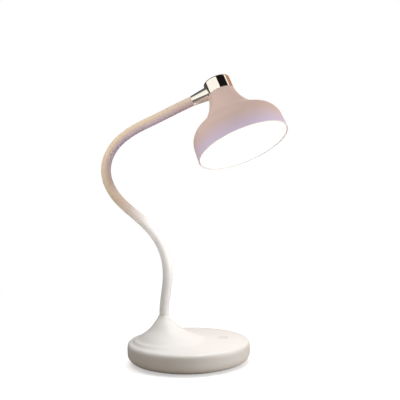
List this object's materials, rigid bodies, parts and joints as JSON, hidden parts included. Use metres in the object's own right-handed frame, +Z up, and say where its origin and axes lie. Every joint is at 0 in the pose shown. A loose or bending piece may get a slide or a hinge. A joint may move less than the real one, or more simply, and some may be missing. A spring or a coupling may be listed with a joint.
{
  "type": "gooseneck desk lamp",
  "caption": "Desk lamp with a round weighted base, a sleeved gooseneck that bends along its length, a chrome cap and a bell shade with a lit diffuser.",
  "frame": {"origin": "Centre of the underside, on the surface that the lamp stands on.", "axes": "+Z is up; +X runs across the base from the neck's cone to the touch mark; the neck's plane is turned 12 degrees from it about Z."},
  "size_m": [0.1768, 0.1442, 0.2859],
  "materials": {
    "base_plastic": "white satin moulded plastic",
    "cover_plastic": "white moulded plastic with a fine texture",
    "pad_rubber": "dark grey foam rubber",
    "cast_weight": "cast and painted",
    "inner_plastic": "plain moulded plastic",
    "battery_wrap": "foil pouch",
    "circuit_board": "green solder mask",
    "plated_steel": "zinc plated",
    "brass_fitting": "turned",
    "clear_plastic": "clear moulded rod",
    "lead_jacket": "soft jacket",
    "neck_sleeve": "smooth soft sleeve, pale",
    "hose_steel": "spiral-wound steel hose",
    "chrome_trim": "polished",
    "shade_paint": "blush beige satin moulded plastic",
    "led_plate": "white coated circuit plate",
    "led_chip": "phosphor face",
    "opal_diffuser": "opal, lit"
  },
  "bodies": {
    "base": {"base_top_shell": "base_plastic", "base_bottom_cover": "cover_plastic", "non_slip_pad": "pad_rubber", "counterweight": "cast_weight", "battery_cradle": "inner_plastic", "battery_cell": "battery_wrap", "control_board": "circuit_board", "control_board_screws": "plated_steel", "touch_spring": "plated_steel", "usb_board": "circuit_board", "usb_board_screws": "plated_steel", "usb_socket": "plated_steel", "charge_light_pipe": "clear_plastic", "gooseneck_lower_fitting": "brass_fitting", "gooseneck_washer": "plated_steel", "gooseneck_nut": "plated_steel", "base_lead": "lead_jacket", "sleeve_root": "neck_sleeve", "sleeve_01": "neck_sleeve", "hose_root": "hose_steel", "cover_screws": "plated_steel", "weight_screws": "plated_steel"},
    "neck_01": {"hose_01": "hose_steel", "sleeve_02": "neck_sleeve"},
    "neck_02": {"hose_02": "hose_steel", "sleeve_03": "neck_sleeve"},
    "neck_03": {"hose_03": "hose_steel", "sleeve_04": "neck_sleeve"},
    "neck_04": {"hose_04": "hose_steel", "sleeve_05": "neck_sleeve"},
    "neck_05": {"hose_05": "hose_steel", "sleeve_06": "neck_sleeve"},
    "neck_06": {"hose_06": "hose_steel", "sleeve_07": "neck_sleeve"},
    "neck_07": {"hose_07": "hose_steel", "sleeve_08": "neck_sleeve"},
    "neck_08": {"hose_08": "hose_steel", "sleeve_09": "neck_sleeve"},
    "neck_09": {"hose_09": "hose_steel", "sleeve_10": "neck_sleeve"},
    "neck_10": {"hose_10": "hose_steel", "sleeve_11": "neck_sleeve"},
    "head": {"hose_11": "hose_steel", "ferrule": "chrome_trim", "ferrule_set_screw": "plated_steel", "stem_nut": "plated_steel", "top_cap": "chrome_trim", "neck_hub": "inner_plastic", "shade_shell": "shade_paint", "head_screws": "plated_steel", "led_board": "led_plate", "led_board_screws": "plated_steel", "led_chips": "led_chip", "diffuser": "opal_diffuser", "head_lead": "lead_jacket"}
  },
  "joints": [
    {"name": "neck_bend_01", "type": "hinge", "parent": "base", "child": "neck_01", "pos_m": [-0.02339, -0.00013, 0.05788], "axis": [0.2079, 0.9781, 0], "range_deg": [-25, 25], "deforming": ["sleeve_01"]},
    {"name": "neck_sway_02", "type": "hinge", "parent": "neck_01", "child": "neck_02", "pos_m": [-0.01994, -0.00086, 0.08342], "axis": [0.9758, -0.2074, -0.0698], "range_deg": [-20, 20], "deforming": ["sleeve_02"]},
    {"name": "neck_bend_03", "type": "hinge", "parent": "neck_02", "child": "neck_03", "pos_m": [-0.0218, -0.00047, 0.10903], "axis": [0.2079, 0.9781, 0], "range_deg": [-21, 25], "deforming": ["sleeve_03"]},
    {"name": "neck_bend_04", "type": "hinge", "parent": "neck_03", "child": "neck_04", "pos_m": [-0.03299, 0.00191, 0.13198], "axis": [0.2079, 0.9781, 0], "range_deg": [-25, 25], "deforming": ["sleeve_04"]},
    {"name": "neck_sway_05", "type": "hinge", "parent": "neck_04", "child": "neck_05", "pos_m": [-0.05069, 0.00567, 0.15031], "axis": [-0.6608, 0.1405, -0.7373], "range_deg": [-20, 20], "deforming": ["sleeve_05"]},
    {"name": "neck_bend_06", "type": "hinge", "parent": "neck_05", "child": "neck_06", "pos_m": [-0.06837, 0.00943, 0.16862], "axis": [-0.2079, -0.9781, 0], "range_deg": [-19, 25], "deforming": ["sleeve_06"]},
    {"name": "neck_bend_07", "type": "hinge", "parent": "neck_06", "child": "neck_07", "pos_m": [-0.07683, 0.01123, 0.19252], "axis": [-0.2079, -0.9781, 0], "range_deg": [-2, 25], "deforming": ["sleeve_07"]},
    {"name": "neck_sway_08", "type": "hinge", "parent": "neck_07", "child": "neck_08", "pos_m": [-0.0685, 0.00946, 0.21638], "axis": [0.7812, -0.166, -0.6018], "range_deg": [-20, 20], "deforming": ["sleeve_08"]},
    {"name": "neck_bend_09", "type": "hinge", "parent": "neck_08", "child": "neck_09", "pos_m": [-0.04912, 0.00534, 0.23264], "axis": [-0.2079, -0.9781, 0], "range_deg": [-25, 25], "deforming": ["sleeve_09"]},
    {"name": "neck_sway_10", "type": "hinge", "parent": "neck_09", "child": "neck_10", "pos_m": [-0.02643, 0.00052, 0.24389], "axis": [-0.4134, 0.0879, 0.9063], "range_deg": [-20, 20], "deforming": ["sleeve_10"]},
    {"name": "neck_bend_11", "type": "hinge", "parent": "neck_10", "child": "head", "pos_m": [-0.00365, -0.00433, 0.255], "axis": [-0.2079, -0.9781, 0], "range_deg": [-25, 25], "deforming": ["sleeve_11"]}
  ]
}
